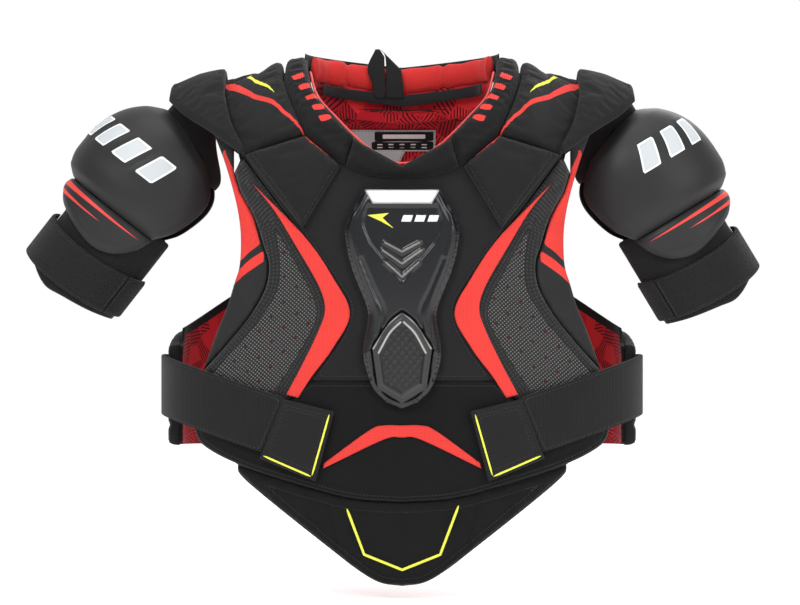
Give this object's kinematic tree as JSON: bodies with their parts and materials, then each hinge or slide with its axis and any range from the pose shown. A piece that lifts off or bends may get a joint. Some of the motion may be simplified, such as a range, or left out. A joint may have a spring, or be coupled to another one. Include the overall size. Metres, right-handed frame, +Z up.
{
  "type": "ice hockey shoulder pads",
  "caption": "Padded vest with a moulded chest plate, hinged shoulder caps, swinging upper-arm guards, waist straps and a belly flap.",
  "frame": {"origin": "middle of the neck on the shoulder line, where the pads rest on the wearer's shoulders", "axes": "+Z up, the wearer faces -Y, the wearer's left is +X"},
  "size_m": [0.6931, 0.2713, 0.4988],
  "materials": {
    "black_fabric": "matte knit over foam",
    "red_fabric": "smooth knit",
    "red_lining": "printed mesh lining",
    "charcoal_mesh": "perforated mesh over foam",
    "moulded_shell": "satin moulded skin",
    "gloss_shell": "gloss moulded plastic",
    "silver_badge": "satin silver",
    "hook_tape": "hook tape with patch",
    "webbing": "elastic webbing",
    "label": "printed satin label",
    "sleeve_knit": "stretch knit"
  },
  "bodies": {
    "vest_back": {"back_panel": "black_fabric", "back_liner": "red_lining", "back_wing_left": "black_fabric", "back_wing_right": "black_fabric", "wing_liner_left": "red_lining", "wing_liner_right": "red_lining", "spine_plate": "gloss_shell", "back_arch_left": "black_fabric", "back_arch_right": "black_fabric", "neck_roll": "red_fabric", "back_collar": "black_fabric", "neck_band": "black_fabric", "hanging_loop": "webbing", "size_label": "label", "strap_anchor_left": "webbing", "strap_anchor_right": "webbing"},
    "vest_front": {"chest_liner": "red_lining", "chest_panel": "black_fabric", "lower_chest_panel": "black_fabric", "chest_chevron": "red_fabric", "rib_pad_left": "charcoal_mesh", "rib_pad_right": "charcoal_mesh", "armhole_edge_left": "red_fabric", "armhole_edge_right": "red_fabric", "chest_crescent_left": "red_fabric", "chest_crescent_right": "red_fabric", "clavicle_pad_left": "black_fabric", "clavicle_pad_right": "black_fabric", "front_arch_left": "black_fabric", "front_arch_right": "black_fabric", "collar_point": "black_fabric", "collar_left": "black_fabric", "collar_right": "black_fabric", "sternum_plate": "gloss_shell", "sternum_insert": "gloss_shell", "sternum_badge": "silver_badge"},
    "belly": {"belly_pad": "black_fabric", "belly_pad_lining": "red_lining"},
    "waist_strap_left": {"waist_strap_left": "webbing", "strap_tab_left": "black_fabric", "hook_pad_left": "hook_tape"},
    "cap_left": {"shoulder_cap_left": "black_fabric"},
    "sling_left": {"arm_sling_left": "sleeve_knit"},
    "guard_left": {"bicep_guard_left": "moulded_shell", "bicep_liner_left": "sleeve_knit", "bicep_flap_left": "moulded_shell", "bicep_wrap_left": "sleeve_knit"},
    "sleeve_left": {"bicep_strap_left": "webbing", "bicep_strap_tab_left": "hook_tape"},
    "waist_strap_right": {"waist_strap_right": "webbing", "strap_tab_right": "black_fabric", "hook_pad_right": "hook_tape"},
    "cap_right": {"shoulder_cap_right": "black_fabric"},
    "sling_right": {"arm_sling_right": "sleeve_knit"},
    "guard_right": {"bicep_guard_right": "moulded_shell", "bicep_liner_right": "sleeve_knit", "bicep_flap_right": "moulded_shell", "bicep_wrap_right": "sleeve_knit"},
    "sleeve_right": {"bicep_strap_right": "webbing", "bicep_strap_tab_right": "hook_tape"}
  },
  "joints": [
    {"name": "front_fold", "type": "hinge", "parent": "vest_back", "child": "vest_front", "pos_m": [0, 0, 0.001], "axis": [1, 0, 0], "range_deg": [0, 9]},
    {"name": "belly_flex", "type": "hinge", "parent": "vest_front", "child": "belly", "pos_m": [0, -0.118, -0.341], "axis": [-1, 0, 0], "range_deg": [0, 60]},
    {"name": "waist_strap_open_left", "type": "hinge", "parent": "vest_back", "child": "waist_strap_left", "pos_m": [0.2095, 0.0562, -0.269], "axis": [0, 0, 1], "range_deg": [0, 110]},
    {"name": "cap_lift_left", "type": "hinge", "parent": "vest_back", "child": "cap_left", "pos_m": [0.166, 0, 0.026], "axis": [0, -1, 0], "range_deg": [-5.6, 18.2]},
    {"name": "arm_raise_left", "type": "hinge", "parent": "vest_back", "child": "sling_left", "pos_m": [0.185, 0, -0.009], "axis": [0, -1, 0], "range_deg": [-6, 26]},
    {"name": "arm_swing_left", "type": "hinge", "parent": "sling_left", "child": "guard_left", "pos_m": [0.185, 0, -0.009], "axis": [-1, 0, 0], "range_deg": [-15, 15]},
    {"name": "sleeve_strap_open_left", "type": "hinge", "parent": "guard_left", "child": "sleeve_left", "pos_m": [0.32575, 0.01191, -0.12859], "axis": [-0.515, 0, 0.8572], "range_deg": [0, 100]},
    {"name": "waist_strap_open_right", "type": "hinge", "parent": "vest_back", "child": "waist_strap_right", "pos_m": [-0.2095, 0.0562, -0.269], "axis": [0, 0, -1], "range_deg": [0, 110]},
    {"name": "cap_lift_right", "type": "hinge", "parent": "vest_back", "child": "cap_right", "pos_m": [-0.166, 0, 0.026], "axis": [0, 1, 0], "range_deg": [-5.6, 18.2]},
    {"name": "arm_raise_right", "type": "hinge", "parent": "vest_back", "child": "sling_right", "pos_m": [-0.186, 0, -0.014], "axis": [0, 1, 0], "range_deg": [-6, 26]},
    {"name": "arm_swing_right", "type": "hinge", "parent": "sling_right", "child": "guard_right", "pos_m": [-0.186, 0, -0.014], "axis": [-1, 0, 0], "range_deg": [-15, 15]},
    {"name": "sleeve_strap_open_right", "type": "hinge", "parent": "guard_right", "child": "sleeve_right", "pos_m": [-0.34028, 0.01191, -0.11554], "axis": [-0.6157, 0, -0.788], "range_deg": [0, 100]}
  ],
  "couplings": [
    {"joint": "cap_lift_left", "follows": "arm_raise_left", "ratio": 0.65},
    {"joint": "cap_lift_right", "follows": "arm_raise_right", "ratio": 0.65}
  ]
}
